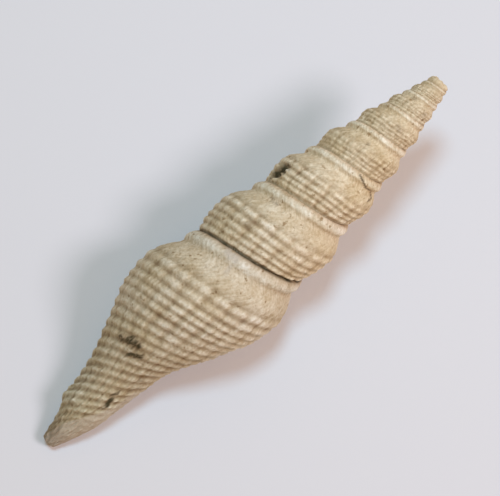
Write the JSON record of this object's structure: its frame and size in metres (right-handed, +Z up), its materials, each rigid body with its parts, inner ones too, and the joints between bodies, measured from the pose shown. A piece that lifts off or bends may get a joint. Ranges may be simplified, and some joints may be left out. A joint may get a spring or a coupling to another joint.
{
  "type": "turrid shell",
  "caption": "Slender spindle-shaped sea shell with a tall stepped spire, beaded spiral cords, a narrow open aperture and a long straight canal; lies on a surface as natural decor or a specimen.",
  "frame": {"origin": "On the surface that the shell rests on, under the middle of its bounding box.", "axes": "+Z is up. +X runs along the shell towards the apex, so the canal tip is at -X. The shell's own axis leans up from -X to +X, the aperture is underneath and its outer lip is on the +Y side."},
  "size_m": [0.0584, 0.0156, 0.0147],
  "materials": {
    "shell_lime": "chalky matte, weathered"
  },
  "bodies": {
    "root": {"shell": "shell_lime"}
  },
  "joints": []
}
